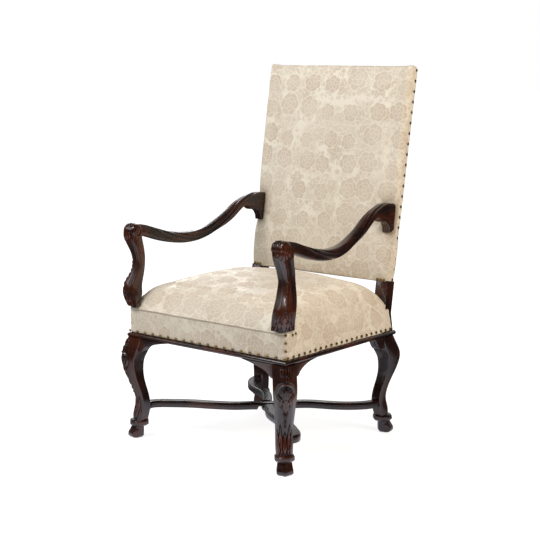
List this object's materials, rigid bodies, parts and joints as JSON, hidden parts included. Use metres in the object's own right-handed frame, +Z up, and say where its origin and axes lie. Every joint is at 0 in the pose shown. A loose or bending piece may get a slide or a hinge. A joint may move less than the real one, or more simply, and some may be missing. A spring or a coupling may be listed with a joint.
{
  "type": "upholstered armchair",
  "caption": "Tall-backed upholstered armchair in dark walnut: carved cabriole legs on hoof feet, serpentine X stretcher and arms, domed seat and tall back in ivory damask with brass nails.",
  "frame": {"origin": "on the floor, under the centre of the chair's outline seen from above", "axes": "+Z up along the chair's height, +X across the chair, -Y towards the front of the seat"},
  "size_m": [0.6884, 0.7205, 1.171],
  "materials": {
    "walnut": "gloss",
    "beech": "matte",
    "damask": "satin",
    "lining": "matte",
    "hessian": "matte",
    "webbing": "matte",
    "stuffing": "matte",
    "brass": "satin"
  },
  "bodies": {
    "root": {"arm_left": "walnut", "arm_right": "walnut", "arm_support_left": "walnut", "arm_support_right": "walnut", "back_bottom_rail": "beech", "back_cover": "damask", "back_hessian": "hessian", "back_nails_left": "brass", "back_nails_lower": "brass", "back_nails_right": "brass", "back_panel": "damask", "back_stuffing": "stuffing", "back_top_rail": "beech", "back_webbing": "webbing", "bead_front": "walnut", "bead_left": "walnut", "bead_right": "walnut", "corner_block_front_left": "beech", "corner_block_front_right": "beech", "corner_block_rear_left": "beech", "corner_block_rear_right": "beech", "dust_cover": "lining", "front_leg_left": "walnut", "front_leg_right": "walnut", "front_seat_rail": "walnut", "rear_post_left": "walnut", "rear_post_right": "walnut", "rear_seat_rail": "walnut", "seat_cover": "damask", "seat_hessian": "hessian", "seat_nails_corner": "brass", "seat_nails_front": "brass", "seat_nails_left": "brass", "seat_nails_rear": "brass", "seat_nails_right": "brass", "seat_stuffing": "stuffing", "seat_webbing": "webbing", "seat_welt": "damask", "side_seat_rail_left": "walnut", "side_seat_rail_right": "walnut", "stretcher_over": "walnut", "stretcher_under": "walnut"}
  },
  "joints": []
}
